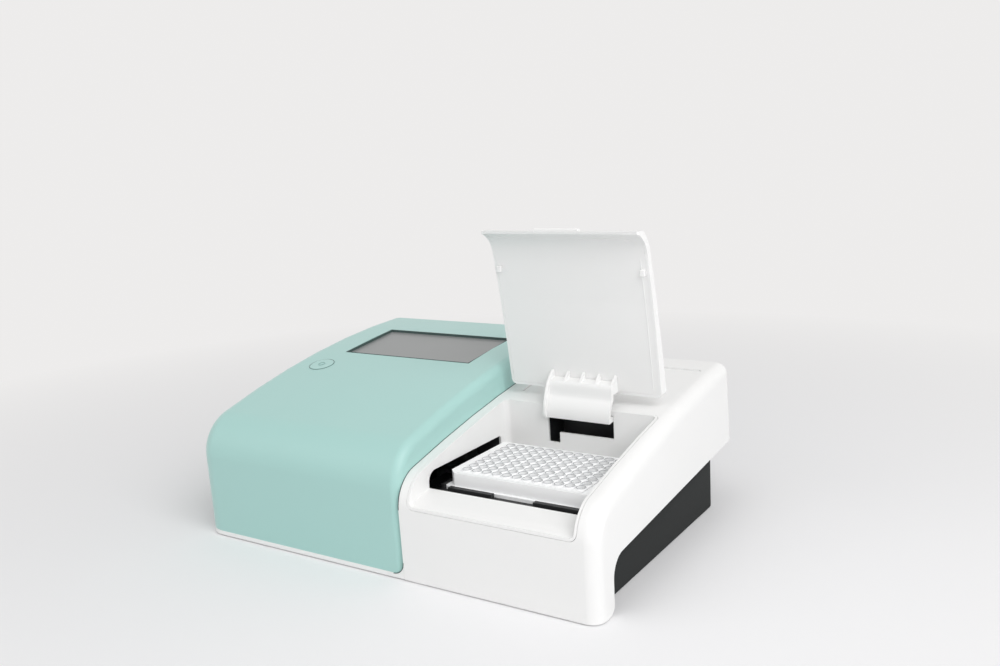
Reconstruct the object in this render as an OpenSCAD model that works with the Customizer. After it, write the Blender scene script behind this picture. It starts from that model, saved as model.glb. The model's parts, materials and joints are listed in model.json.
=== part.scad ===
/* [Body] */
// Width of the display housing, left of the seam
display_w = 222; // [200:1:260]
// Width of the plate housing at the back, right of the seam
plate_w = 158; // [156:1:180]
// How much farther out the side of the plate housing stands at the front than at the back
plate_flare = 8; // [6:0.5:10]
// Depth of the body from front to back
body_d = 282; // [270:1:320]
// Wall thickness of the moulded housings
shell_t = 2.6; // [2:0.1:3.2]
// Height of the rubber feet, which lift the body off the table
foot_h = 0.8; // [0.6:0.1:2]
// Radius that softens the outer end of the display housing
display_end_r = 20; // [14:1:22]
// Radius that softens the outer end of the plate housing
plate_end_r = 11; // [9:1:13]
// Radius that softens the display housing where it meets the seam
seam_r = 8; // [5:0.5:10]

/* [Plate housing top] */
// Radius of the front shoulder of the plate housing
plate_shoulder_r = 28; // [24:1:32]
// Height of the top at the back end of the bay
plate_rear_z = 108.75; // [108.25:0.25:110]
// Slope of the top at the front shoulder
plate_slope = 0.2525; // [0.24:0.0025:0.26]
// Crown radius of the top, front to back
plate_crown_r = 1300; // [1200:50:1600]

/* [Display housing top] */
// Radius of the front shoulder of the display housing
display_shoulder_r = 38; // [34:1:42]
// Height of the top at the middle of the screen
display_mid_z = 139; // [136:0.5:150]
// Slope of the top at the front shoulder
display_slope = 0.30; // [0.26:0.01:0.34]
// Crown radius of the top, front to back
display_crown_r = 850; // [700:50:1200]

/* [Undercut and chassis] */
// Depth of the leg that comes down at the front of each side
leg_d = 25; // [22:0.5:28]
// Height of the side wall's lower edge behind the leg
slab_front_z = 39.8; // [38:0.2:42]
// Rise of that lower edge for each millimetre of depth
slab_rise = 0.049; // [0.045:0.001:0.055]
// Height at which the lower edge turns level
slab_rear_z = 51.5; // [50.5:0.25:52.5]
// Inner corner radius between the leg and the lower edge
leg_r = 16; // [10:1:20]
// Distance of the chassis wall inside the housing's side
chassis_inset = 5; // [4:0.5:7]
// Distance of the chassis back inside the housing's back
rear_overhang = 32; // [24:1:40]
// Thickness of the chassis floor and walls
chassis_t = 3; // [2.5:0.5:4]

/* [Plate bay] */
// Clear width of the bay that the lid closes
bay_w = 139; // [138:0.5:140]
// Depth of the bay from the front of the body to its rear wall
bay_d = 139; // [138.5:0.5:141]
// Thickness of the bay's walls
bay_t = 2; // [1.6:0.2:2.4]
// Height of the front sill's lip
sill_z = 61; // [59:0.5:63]
// Height of the bay's floor
floor_z = 67; // [65.5:0.5:68]
// Radius of the bay's front corners
bay_front_r = 4; // [3:0.5:6]
// Radius of the bay's rear corners
bay_rear_r = 5; // [3:0.5:7]

/* [Microplate] */
// Length of the microplate's footprint
mp_l = 127.76; // [127.5:0.01:128]
// Width of the microplate's footprint
mp_w = 85.48; // [85.2:0.01:85.7]
// Height of the microplate
mp_h = 14.35; // [14.1:0.01:14.6]
// Distance between wells
well_pitch = 9; // [9:9]
// Radius of a well's mouth
well_r = 3.45; // [3.3:0.05:3.5]
// Height of the microplate's top above the table
mp_top_z = 78; // [77.5:0.1:78.3]

/* [Lid] */
// Thickness of the lid at its back, from its skin to its liner
lid_t = 10; // [9:0.25:10.25]
// Thickness of the lid behind its front edge
lid_front_t = 5.5; // [5:0.25:6.5]
// Distance of the lid's front edge behind the front of the body
lid_front_y = 4.2; // [3.6:0.2:5]
// Thickness of the lid's skin
lid_skin = 2.2; // [1.8:0.1:2.6]
// Gap between the lid and the bay
lid_gap = 0.75; // [0.6:0.05:1.1]
// Height of the hinge axis above the table
hinge_z = 103; // [102.5:0.25:103.5]
// Distance of the hinge axis behind the bay's rear wall
hinge_back = 16; // [15.75:0.25:17]
// Angle at which the lid stands open
lid_open = 90; // [80:1:92]
// Outer radius of the gooseneck arm round the hinge axis
arm_r = 22; // [21.5:0.25:22.5]
// Width of the gooseneck arm
arm_w = 59; // [50:1:60]
// Radius of the hinge pin
hinge_pin_r = 1.5; // [1.25:0.05:1.6]

/* [Carriage] */
// Distance that the plate travels into the display housing
travel = 150; // [140:1:152]
// Radius of the guide rods
rod_r = 4; // [3:0.5:4]
// Height of the guide rods
rod_z = 50; // [48:0.5:51]
// Thickness of the carrier's frame
carrier_t = 5.65; // [5:0.05:6]

/* [Display and button] */
// Width of the screen opening
screen_w = 142.5; // [120:0.5:150]
// Depth of the screen opening along the slope
screen_d = 71; // [60:0.5:74]
// Distance of the screen's centre from the seam
screen_x = 104; // [100:0.5:115]
// Distance of the screen's centre from the front
screen_y = 184; // [180:1:190]
// Depth at which the glass lies below the surface
screen_sink = 2.8; // [2.6:0.1:3.2]
// Radius of the power button
button_r = 11.5; // [9:0.25:13]
// Travel of the power button
button_travel = 0.8; // [0.5:0.1:1.2]
// Distance of the power button from the seam
button_x = 178; // [170:1:182]
// Distance of the power button from the front
button_y = 118; // [112:1:122]

/* [Hidden] */
fine = 48;
eps = 0.01;
body_w = display_w + plate_w + plate_flare;
seam_x = display_w - body_w / 2;
shell_base_z = foot_h;
clear = 0.3;

// Heights of the two crowned tops, as functions of the distance from the front
function crown(y, y0, z0, slope, r) = z0 + slope * (y - y0) - (y - y0) * (y - y0) / (2 * r);
function tangent_y(r, slope) = r - r * sin(atan(slope));
plate_front_y = tangent_y(plate_shoulder_r, plate_slope);
display_front_y = tangent_y(display_shoulder_r, display_slope);
plate_front_z = plate_rear_z - crown(bay_d, plate_front_y, 0, plate_slope, plate_crown_r);
display_front_z = display_mid_z - crown(screen_y, display_front_y, 0, display_slope, display_crown_r);
function plate_top(y) = crown(y, plate_front_y, plate_front_z, plate_slope, plate_crown_r);
function display_top(y) = crown(y, display_front_y, display_front_z, display_slope, display_crown_r);

// Side outline of a housing: front face, shoulder, crowned top and leaning back, as [y, z] points
rear_lean = 6;
rear_r = 9;
tuck = 1;
function shoulder(r, top_z, slope, n, inset) =
    let (zc = top_z - r * cos(atan(slope)), ri = r - inset)
    [for (i = [0 : n]) let (a = 180 - i * (90 - atan(slope)) / n) [r + ri * cos(a), zc + ri * sin(a)]];
trim_h = 4;
plate_form = [plate_shoulder_r, plate_front_y, plate_front_z, plate_slope, plate_crown_r, shell_base_z];
display_form = [display_shoulder_r, display_front_y, display_front_z, display_slope, display_crown_r,
                shell_base_z + trim_h];
function outline(form, inset = 0, growth = 0) =
    let (r = form[0], front_y = form[1], front_z = form[2], slope = form[3], crown_r = form[4],
         base_z = form[5], steps = 6, rr = max(rear_r - inset, 1.5),
         rear_y = body_d - rear_lean - inset - rr,
         z_rear = crown(rear_y, front_y, front_z, slope, crown_r) - inset)
    concat([[tuck + inset, base_z]],
           shoulder(r, front_z, slope, 12, inset),
           [for (i = [1 : steps])
               let (y = front_y + i * (rear_y - front_y) / steps, a = atan(slope - (y - front_y) / crown_r),
                    t = inset + growth * (y - front_y))
               [y + t * sin(a), crown(y, front_y, front_z, slope, crown_r) - t * cos(a)]],
           [for (a = [60, 30, 0]) [rear_y + rr * cos(a), z_rear - rr + rr * sin(a)]],
           [[body_d - inset, slab_rear_z], [body_d - inset, base_z]]);
module side(form, inset = 0, growth = 0) polygon(outline(form, inset, growth));
function through(form) = [form[0], form[1], form[2], form[3], form[4], -20];

// Runs a side outline [y, z] along X, or a front outline [x, z] along Y
module along_x(x0, w) translate([x0, 0, 0]) rotate([90, 0, 90]) linear_extrude(w) children();
module along_y(y0, w) translate([0, y0 + w, 0]) rotate([90, 0, 0]) linear_extrude(w) children();
module along_z(z0, h) translate([0, 0, z0]) linear_extrude(h) children();
module rod_x(y, z, r, x0, x1) translate([x0, y, z]) rotate([0, 90, 0]) cylinder(r = r, h = x1 - x0, $fn = fine);
module rod_y(x, z, r, y0, y1) translate([x, y1, z]) rotate([90, 0, 0]) cylinder(r = r, h = y1 - y0, $fn = fine);
module rod_z(x, y, r, z0, z1) translate([x, y, z0]) cylinder(r = r, h = z1 - z0, $fn = fine);
module block(x0, x1, y0, y1, z0, z1) translate([x0, y0, z0]) cube([x1 - x0, y1 - y0, z1 - z0]);
module soft_rect(x0, x1, y0, y1, r) hull()
    for (x = [x0 + r, x1 - r], y = [y0 + r, y1 - r]) translate([x, y]) circle(r, $fn = 32);
module at_seam() translate([seam_x, -body_d / 2, 0]) children();

// Long body with a side outline and rounded ends; inset gives the inside of its wall, and
// flare moves its right end outward towards the front
function stations(x0, x1, r0, r1, inset) =
    let (s0 = r0 - inset, s1 = r1 - inset)
    concat(s0 > 1 ? [for (a = [0 : 15 : 90]) [x0 + inset + s0 * (1 - cos(a)), inset + s0 * (1 - sin(a))]]
                  : [[x0 + inset, inset]],
           s1 > 1 ? [for (a = [90 : -15 : 0]) [x1 - inset - s1 * (1 - cos(a)), inset + s1 * (1 - sin(a))]]
                  : [[x1 - inset, inset]]);
module soft_body(form, x0, x1, r0, r1, inset, flare = 0) {
    rings = stations(x0, x1, r0, r1, inset);
    n = len(outline(form));
    last = (len(rings) - 1) * n;
    polyhedron(
        points = [for (ring = rings) for (p = outline(form, ring[1]))
            [ring[0] + (ring[0] > x1 - r1 - eps ? flare * (body_d - p[0]) / (body_d - tuck - r1) : 0), p[0], p[1]]],
        faces = concat([[for (i = [n - 1 : -1 : 0]) i]], [[for (i = [0 : n - 1]) last + i]],
            [for (k = [0 : len(rings) - 2]) for (i = [0 : n - 1])
                let (j = (i + 1) % n) [k * n + i, k * n + j, (k + 1) * n + j]],
            [for (k = [0 : len(rings) - 2]) for (i = [0 : n - 1])
                let (j = (i + 1) % n) [k * n + i, (k + 1) * n + j, (k + 1) * n + i]]));
}

// Space behind the legs where the housings stop above the chassis
module undercut() {
    lean = atan(slab_rise);
    mid_y = leg_d + leg_r;
    mid_z = slab_front_z + slab_rise * leg_r - leg_r / cos(lean);
    level_y = leg_d + (slab_rear_z - slab_front_z) / slab_rise;
    along_x(-display_w - 5, body_w + 10) polygon(concat([[leg_d, -5]],
        [for (i = [0 : 8]) let (a = 180 - i * (90 - lean) / 8) [mid_y + leg_r * cos(a), mid_z + leg_r * sin(a)]],
        [[level_y, slab_rear_z], [body_d + 20, slab_rear_z], [body_d + 20, -5]]));
}

// Way through both housings at the seam, for the plate carrier
seam_flange = 8;
module seam_passage() along_x(-shell_t - 1, 2 * shell_t + 2) {
    side(plate_form, seam_flange);
    translate([tuck + shell_t, -5]) square([body_d - 30, 20]);
    translate([pass_y0 - hood_t - 0.7, 60]) square([pass_y1 - pass_y0 + 2 * hood_t + 1.4, pass_z + hood_t + 1 - 60]);
}

// Black hood that keeps stray light off the plate between the bay and the display housing
hood_t = 1.6;
module passage_hood() color("#1b1c1d") along_x(optic_x + 16.5, bay_x - bay_w / 2 - bay_t - 0.1 - optic_x - 16.5)
    difference() {
        translate([pass_y0 - hood_t - 0.2, carrier_z + 2]) square([pass_y1 - pass_y0 + 2 * hood_t + 0.4, pass_z + hood_t + 0.5 - carrier_z - 2]);
        translate([pass_y0 - 0.2, 0]) square([pass_y1 - pass_y0 + 0.4, pass_z + 0.5]);
    }

// Bay opening: rear corners rounded in plan, lower corners rounded at the front face
bay_x = plate_w / 2 + 0.5;
module bay_opening(grow, y1, z0) {
    x0 = bay_x - bay_w / 2 - grow;
    x1 = bay_x + bay_w / 2 + grow;
    front_r = max(bay_front_r + grow, 0.3);
    intersection() {
        along_z(40, 120) hull() {
            translate([x0, -20]) square([x1 - x0, 1]);
            for (x = [x0 + bay_rear_r + grow, x1 - bay_rear_r - grow])
                translate([x, y1 - bay_rear_r]) circle(bay_rear_r + grow, $fn = 32);
        }
        along_y(-20, bay_d + 60) hull() {
            translate([x0, 190]) square([x1 - x0, 1]);
            for (x = [x0 + front_r, x1 - front_r]) translate([x, z0 + front_r]) circle(front_r, $fn = 32);
        }
    }
}
// Everything above the bay's floor, raised by up: the lip is rounded over at the front, and
// the sill slopes up to the level floor
module above_floor(up) along_x(-10, plate_w + 20)
    polygon([[-30, sill_z + up - 2.4], [0.6, sill_z + up - 2.4], [1.1, sill_z + up - 1], [2.2, sill_z + up + 0.2],
             [3.8, sill_z + up + 1], [9.5, sill_z + up + (floor_z - sill_z) / 2],
             [27, floor_z + up], [bay_d + 40, floor_z + up], [bay_d + 40, 300], [-30, 300]]);

// Heights and places that several pieces share
deck_z = foot_h + chassis_t;
rear_y = body_d - rear_overhang;
shelf_z = slab_rear_z + 1;
shelf_y = body_d - shell_t - 1.2;
chassis_x0 = -display_w + chassis_inset;
chassis_x1 = plate_w - chassis_inset;
mp_bottom_z = mp_top_z - mp_h;
mp_x0 = bay_x - mp_l / 2;
mp_y0 = bay_d - 100.3;
carrier_z = mp_bottom_z - carrier_t;
carrier_x0 = mp_x0 - 3;
carrier_x1 = mp_x0 + mp_l + 3;
carrier_y0 = mp_y0 - 4.7;
carrier_y1 = mp_y0 + mp_w + 4;
lip_z = mp_bottom_z + 3.35;
pass_z = mp_top_z + 1.5;
pass_y0 = mp_y0 - 11.7;
pass_y1 = carrier_y1 + 1;
rod_ys = [mp_y0 + 4.3, mp_y0 + 79.3];
bearing_x0 = bay_x - 39.5;
bearing_x1 = bay_x + 30.5;
rod_x0 = bearing_x0 - travel - 46;
rod_x1 = plate_w - 12;
belt_y = tuck + shell_t + 14.4;
belt_z = 47;
pulley_r = 6;
belt_t = 1.4;
motor_x = -display_w + 34;
idler_x = rod_x1 - 18;
hinge_y = bay_d + hinge_back;
arm_x0 = bay_x + 2 - arm_w / 2;
arm_x1 = arm_x0 + arm_w;
arm_play = 0.5;
arm_web = 2.5;
arm_swing_r = arm_r + 3;
ear_t = 3;
optic_x = -32;
columns = floor((mp_l - 28.76) / well_pitch + 0.01) + 1;
rows = floor((mp_w - 22.48) / well_pitch + 0.01) + 1;
first_row_y = mp_y0 + (mp_w - (rows - 1) * well_pitch) / 2;
wheel_x = -display_w + 121;
wheel_y = body_d - 86;
wheel_z = 58;
wheel_r = 31;
filter_r = 22;
plate_x = wheel_x + 8;
fan_x = -70;
fan_z = foot_h + 30.5;
fan_size = 40;
inlet_x = -display_w + 37;
switch_x = -display_w + 72;
port_z = 25;
usb_x = plate_w / 2 - 30;
serial_x = plate_w / 2 + 10;
board_z = deck_z + 8;
post_ys = [body_d - 18];
post_xs = [-display_w + 22, -20, 20, plate_w - 20];

module chassis_plan(grow) soft_rect(chassis_x0 - grow, chassis_x1 + grow, 4.5 - grow, rear_y + grow, 14 + grow);
module chassis_side(grow) along_x(chassis_x0 - 5, body_w) hull() {
    translate([-20, foot_h - grow]) square([1, 100]);
    translate([rear_y - 10, foot_h + 10]) circle(10 + grow, $fn = 32);
    translate([rear_y + grow - 1, 90]) square([1, 10]);
}
// Chassis: floor pan, walls behind the legs, and a shelf that closes the housings' rear overhang
module chassis() color("#404242") {
    wall_z = slab_rear_z + 7;
    difference() {
        union() {
            intersection() {
                along_z(foot_h, wall_z - foot_h) chassis_plan(0);
                chassis_side(0);
            }
            along_z(shelf_z, chassis_t) difference() {
                soft_rect(-display_w + shell_t + 0.8, plate_w - shell_t - 0.8, 200, shelf_y, 16);
                translate([-display_w, 190]) square([body_w, rear_y - 191]);
                translate([-shell_t - 0.4, shelf_y - seam_flange]) square([2 * shell_t + 0.8, 30]);
                translate([-shell_t - 3, shelf_y - seam_r / 2]) square([shell_t + 3, 30]);
            }
        }
        intersection() {
            along_z(deck_z, 100) chassis_plan(-chassis_t);
            chassis_side(-chassis_t);
        }
        block(-display_w - 5, plate_w + 5, -10, leg_d + 3, deck_z, 100);
        block(inlet_x - 14, inlet_x + 14, rear_y - 10, rear_y + 1, port_z - 10.2, port_z + 10.2);
        block(switch_x - 11.2, switch_x + 11.2, rear_y - 10, rear_y + 1, port_z - 8.2, port_z + 8.2);
        block(usb_x - 6.4, usb_x + 6.4, rear_y - 10, rear_y + 1, board_z + 1.4, board_z + 13.2);
        block(serial_x - 15.8, serial_x + 15.8, rear_y - 10, rear_y + 1, board_z + 1.4, board_z + 14.2);
        for (i = [-3 : 3]) {
            half = sqrt(17 * 17 - i * i * 25);
            block(fan_x + i * 5 - 1.6, fan_x + i * 5 + 1.6, rear_y - 10, rear_y + 1, fan_z - half, fan_z + half);
        }
        for (x = post_xs, y = post_ys) rod_z(x, y, 1.7, shelf_z - 1, shelf_z + chassis_t + 1);
    }
}

module rubber_feet() color("#202020")
    for (x = [-display_w + 30, plate_w - 28], y = [30, rear_y - 24]) rod_z(x, y, 8, 0, foot_h);

// Screws that hold the housings down through the chassis shelf
screw_r = 1.5;
module chassis_screws() color("#9a9c9e") for (x = post_xs, y = post_ys) {
    rod_z(x, y, 3, shelf_z - 1.8, shelf_z);
    rod_z(x, y, screw_r, shelf_z - 0.1, shelf_z + 14);
}
module screw_posts(form, x0, x1) intersection() {
    for (x = post_xs, y = post_ys) if (x > x0 && x < x1) difference() {
        rod_z(x, y, 4.2, shelf_z + chassis_t, 150);
        rod_z(x, y, screw_r + 0.02, shelf_z, shelf_z + 16);
    }
    along_x(x0, x1 - x0) side(form, shell_t / 2);
}

// Plate housing: the lower of the two, open at the bay, at the seam and under the slab
cover_x0 = 15;
cover_x1 = plate_w - 13;
cover_y0 = bay_d + 19;
cover_y1 = bay_d + 104;
module cover_plan(grow) soft_rect(cover_x0 - grow, cover_x1 + grow, cover_y0 - grow, cover_y1 + grow, 3);
module band(form, x0, x1, outer, inner) along_x(x0, x1 - x0) difference() {
    side(form, outer);
    side(form, inner);
}
cover_sink = 0.8;
cover_t = 1.7;
module plate_housing() color("#f2f2f0") {
    difference() {
        soft_body(plate_form, 0, plate_w, 0, plate_end_r, 0, plate_flare);
        soft_body(through(plate_form), 0, plate_w, 0, plate_end_r, shell_t, plate_flare);
        undercut();
        seam_passage();
        bay_opening(bay_t + clear, bay_d, sill_z - bay_t - clear);
        along_z(80, 80) cover_plan(0);
    }
    difference() {
        intersection() {
            band(plate_form, cover_x0 - 5, cover_x1 + 5, cover_sink + cover_t, cover_sink + cover_t + 1.8);
            along_z(80, 80) difference() {
                translate([cover_x0 - 3, cover_y0 - 3]) square([cover_x1 - cover_x0 + 6, cover_y1 - cover_y0 + 6]);
                translate([cover_x0 + 3, cover_y0 + 3]) square([cover_x1 - cover_x0 - 6, cover_y1 - cover_y0 - 6]);
            }
        }
        rod_x(hinge_y, hinge_z, barrel_r + 0.6, arm_x0 - 1, arm_x1 + 1);
    }
    screw_posts(plate_form, 0, plate_w);
}

module service_cover() color("#f2f2f0") intersection() {
    band(plate_form, cover_x0, cover_x1, cover_sink, cover_sink + cover_t);
    along_z(80, 80) cover_plan(-clear);
}

// Tilted places on the crowned display top: origin on the surface, Z along its normal
function display_tilt(y) = atan(display_slope - (y - display_front_y) / display_crown_r);
module on_display(x, y) translate([x, y, display_top(y)]) rotate([display_tilt(y), 0, 0]) children();
module slab_at(w, d, z0, z1, r) translate([0, 0, z0]) linear_extrude(z1 - z0)
    soft_rect(-w / 2, w / 2, -d / 2, d / 2, r);
module plain_slab(w, d, z0, z1) translate([-w / 2, -d / 2, z0]) cube([w, d, z1 - z0]);
glass_t = 2.5;
screen_wall = 2;
guide_t = 2;
module display_housing() color("#b9d2cb") {
    difference() {
        union() {
            difference() {
                soft_body(display_form, -display_w, 0, display_end_r, seam_r, 0);
                soft_body(through(display_form), -display_w, 0, display_end_r, seam_r, shell_t);
            }
            on_display(-screen_x, screen_y)
                plain_slab(screen_w + 2 * screen_wall, screen_d + 2 * screen_wall, -9, -1.5);
        }
        undercut();
        seam_passage();
        on_display(-screen_x, screen_y) {
            plain_slab(screen_w, screen_d, -screen_sink - glass_t, 20);
            plain_slab(screen_w - 6, screen_d - 6, -20, 1);
        }
        on_display(-button_x, button_y) translate([0, 0, -20]) cylinder(r = button_r + clear, h = 40, $fn = fine);
    }
    screw_posts(display_form, -display_w, 0);
}

// White strip that lifts the display housing to the plate housing's lower edge
module base_trim() color("#f2f2f0") along_z(foot_h, trim_h) intersection() {
    difference() {
        soft_rect(-display_w, 60, tuck, body_d, display_end_r);
        soft_rect(-display_w + shell_t, 90, tuck + shell_t, body_d - shell_t, display_end_r - shell_t);
    }
    translate([-display_w - 1, -1]) square([display_w + 0.8, leg_d + 1]);
}

module touch_panel() color("#a8a8a8") on_display(-screen_x, screen_y)
    slab_at(screen_w - 2 * clear, screen_d - 2 * clear, -screen_sink - glass_t + 0.05, -screen_sink, 1);
module display_module() color("#30343a") on_display(-screen_x, screen_y) {
    slab_at(screen_w - 8, screen_d - 8, -screen_sink - glass_t - 5, -screen_sink - glass_t, 1);
    slab_at(screen_w - 30, screen_d - 20, -screen_sink - glass_t - 8, -screen_sink - glass_t - 5, 1);
}

// Power button: cap and stem in a guide cup under the display housing
stem_r = 3;
module power_button() color("#c9dbd6") on_display(-button_x, button_y) {
    rotate_extrude($fn = fine) polygon(concat([[0, -3.2], [button_r, -3.2], [button_r, -0.5]],
        [for (a = [15 : 15 : 90]) [button_r - 1 + cos(a), -0.5 + sin(a) - 0.1]], [[0, 0.3]]));
    translate([0, 0, -13]) cylinder(r = stem_r, h = 10, $fn = fine);
}
module button_guide() color("#d8dcda") on_display(-button_x, button_y) difference() {
    translate([0, 0, -10 - guide_t]) cylinder(r = button_r + 3, h = 9 + guide_t - shell_t + 0.5, $fn = fine);
    translate([0, 0, -10]) cylinder(r = button_r + clear, h = 12, $fn = fine);
    translate([0, 0, -14]) cylinder(r = stem_r + 0.1, h = 8, $fn = fine);
}
module button_switch() color("#303030") on_display(-button_x, button_y) {
    translate([-3, -3, -20]) cube([6, 6, 13 - 10 + 3]);
    translate([0, 0, -14.1]) cylinder(r = 1.6, h = 1.1 - button_travel - 0.15, $fn = fine);
    translate([-12, -9, -21.6]) cube([24, 18, 1.6]);
    for (x = [-9.5, 9.5]) translate([x, 0, -20]) cylinder(r = 1.8, h = 8, $fn = fine);
}

// Plate bay: a moulded tub whose rim lies flush with the plate housing
module plate_bay() color("#f4f4f2") difference() {
    union() {
        intersection() {
            bay_opening(bay_t, bay_d, sill_z - bay_t);
            along_x(-5, plate_w + 10) side(plate_form);
            above_floor(-bay_t);
        }
        for (x = [20, plate_w - 18]) {
            rod_z(x, 9, 3, deck_z, sill_z + 1.5);
            rod_z(x, bay_d - 5, 3.5, deck_z, floor_z - 1);
        }
    }
    intersection() {
        bay_opening(0, bay_d, sill_z);
        above_floor(0);
    }
    block(bay_x - bay_w / 2, bay_x + bay_w / 2, pass_y0, pass_y1, 40, floor_z + 7);
    along_x(bay_x - bay_w / 2 - 10, 20) hull() {
        translate([pass_y0, 40]) square([pass_y1 - pass_y0, 1]);
        translate([pass_y0 + 8, pass_z - 8]) circle(8, $fn = 32);
        translate([pass_y1 - 3, pass_z - 3]) circle(3, $fn = 32);
    }
    block(arm_x0 - arm_play, arm_x1 + arm_play, bay_d - 10, bay_d + 10, hinge_z - arm_r + 4.5, hinge_z + 1.9);
    block(arm_x0 - arm_play, arm_x0 + 10, bay_d - 10, bay_d + 10, hinge_z - 26.5, hinge_z);
}

// Lid, drawn closed: it follows the housing's outline and is turned open about the hinge
module opened() translate([0, hinge_y, hinge_z]) rotate([-lid_open, 0, 0])
    translate([0, -hinge_y, -hinge_z]) children();
lid_edge_z = sill_z + 1.2;
lid_rear = 0.3;
lid_growth = (lid_t - lid_front_t) / (bay_d - plate_front_y);
module lid_region(inset) intersection() {
    bay_opening(-lid_gap - inset, bay_d - lid_rear, lid_edge_z + inset * 0.4);
    above_floor(lid_gap);
    block(-5, plate_w + 5, lid_front_y + inset, bay_d + 5, 40, 140);
}
module lid_band(outer, outer_growth, inner) along_x(0, plate_w) difference() {
    side(plate_form, outer, outer_growth);
    side(plate_form, inner, lid_growth);
}
module lid_shell() color("#f4f4f2") opened() {
    difference() {
        intersection() {
            lid_region(0);
            lid_band(0, 0, lid_front_t);
        }
        intersection() {
            lid_region(lid_skin);
            lid_band(lid_skin, 0, lid_front_t + 5);
        }
    }
    intersection() {
        along_x(bay_x - 19.5, 38) polygon([[lid_front_y + 0.5, lid_edge_z + 7], [lid_front_y - 1.6, lid_edge_z + 5.4],
            [lid_front_y - 2.2, lid_edge_z + 2.4], [lid_front_y - 1.4, lid_edge_z + 1.2],
            [lid_front_y + 0.5, lid_edge_z + 1.6]]);
        along_y(-5, 20) soft_rect(bay_x - 19.5, bay_x + 18.5, lid_edge_z, lid_edge_z + 9, 2);
    }
}
nub_y = 37;
module lid_liner() color("#ececea") opened() {
    intersection() {
        lid_region(lid_skin + 0.1);
        lid_band(lid_front_t - 2, lid_growth, lid_front_t - 0.2);
    }
    for (side = [-1, 1])
        translate([bay_x + side * (bay_w / 2 - 8.5), nub_y, plate_top(nub_y) - lid_front_t - 0.4]) sphere(r = 3.2, $fn = 32);
}

// Gooseneck arm, drawn closed about the hinge axis: barrel, arc, front wall and gussets
function lid_under(y) = plate_top(hinge_y + y) - hinge_z
    - (lid_front_t + lid_growth * (hinge_y + y - plate_front_y) + 0.1) * 1.015;
function arc(r, a0, a1, n) = [for (i = [0 : n]) let (a = a0 + i * (a1 - a0) / n) [r * cos(a), r * sin(a)]];
hinge_pin_play = 0.06;
barrel_r = 4.2;
arm_in = arm_r - arm_web;
module at_hinge() translate([0, hinge_y, hinge_z]) children();
module hinge_arm() color("#ececea") opened() at_hinge() difference() {
    union() {
        along_x(arm_x0, arm_w) {
            circle(barrel_r, $fn = 32);
            polygon(concat([[0, 0]], [[-1.25, -2], [-1.25, -arm_in]],
                           [[arm_r * sin(9), -arm_r * cos(9)], [1.8, -2]]));
            polygon(concat(arc(arm_r, 279, 222, 12), [[-22, -16.4], [-25.5, -15.8], [-27.5, lid_under(-27.5)],
                           [-25, lid_under(-25)], [-23.2, -13.6], [-20, -13.9]], arc(arm_in, 224, 279, 12)));
        }
        for (i = [0 : 4]) along_x(arm_x0 + i * (arm_w - 2) / 4, 2)
            polygon([[-24, -15.9], [-25.5, -15.8], [-33, lid_under(-33)], [-19, lid_under(-19)], [-18.4, -12.5],
                     [-19.5, -14.6]]);
        along_x(arm_x0, 2.4)
            polygon(concat(arc(arm_swing_r, 272, 218, 12), [[-26.5, -15.2], [-20, -13.9]], arc(arm_in, 224, 272, 12)));
    }
    along_x(arm_x0 - 1, arm_w + 2) circle(hinge_pin_r + hinge_pin_play, $fn = 32);
}
module hinge_pin() color("#b8babc") at_hinge()
    rod_x(0, 0, hinge_pin_r, arm_x0 - arm_play - ear_t - 0.5, arm_x1 + arm_play + ear_t + 0.5);

// Hinge housing: a black pocket behind the bay's slot that carries the pin in its ears
module hinge_housing() color("#252626") {
    y1 = hinge_y + 9;
    z0 = hinge_z - arm_swing_r - 3.2;
    difference() {
        union() {
            for (x = [arm_x0 - arm_play - ear_t, arm_x1 + arm_play])
                block(x, x + ear_t, bay_d + bay_t, y1, z0, hinge_z + 2.9);
            block(arm_x0 - arm_play - ear_t, arm_x1 + arm_play + ear_t, y1, y1 + 2.5, z0, hinge_z + 2.9);
            block(arm_x0 - arm_play - ear_t, arm_x1 + arm_play + ear_t, bay_d + bay_t, y1 + 2.5, z0 - 2.5, z0);
        }
        at_hinge() rod_x(0, 0, hinge_pin_r + 0.02, arm_x0 - 10, arm_x1 + 10);
    }
}

// Plate carrier: a frame with a raised lip, a window under the wells and a belt clamp
module carrier_plan(grow, r) soft_rect(carrier_x0 - grow, carrier_x1 + grow, carrier_y0 - grow, carrier_y1 + grow, r);
module plate_carrier() color("#1d1e1f") {
    mid_x = (carrier_x0 + carrier_x1) / 2;
    clamp_x = bay_x - 9;
    difference() {
        along_z(carrier_z, lip_z - carrier_z) carrier_plan(0, 4);
        block(mp_x0 - 0.4, mp_x0 + mp_l + 0.4, mp_y0 - 0.4, mp_y0 + mp_w + 0.4, mp_bottom_z, 100);
        along_z(carrier_z - 1, 20) soft_rect(mp_x0 + 4.4, mp_x0 + mp_l - 4.4, mp_y0 + 4.2, mp_y0 + mp_w - 4.2, 5);
        block(carrier_x0 - 1, carrier_x0 + 9.4, carrier_y0 - 1, mp_y0, mp_bottom_z, 100);
        block(carrier_x1 - 9.4, carrier_x1 + 1, carrier_y0 - 1, mp_y0, mp_bottom_z, 100);
        block(mid_x - 18, mid_x + 18, carrier_y0 - 1, mp_y0, mp_bottom_z, 100);
        block(mid_x - 24, mid_x + 24, carrier_y1 - 4.2, carrier_y1 + 1, mp_bottom_z, 100);
    }
    difference() {
        block(clamp_x - 10, clamp_x + 10, belt_y - 4.5, rod_ys[0] - 7.3, belt_z - 2, carrier_z + 0.3);
        block(clamp_x - 11, clamp_x + 11, belt_y - 6, belt_y + 3.4,
              belt_z + pulley_r - 0.3, belt_z + pulley_r + belt_t + 0.3);
        block(clamp_x - 11, clamp_x + 11, belt_y + 6.5, carrier_y0 + 10, 0, carrier_z - 4);
    }
}

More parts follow.
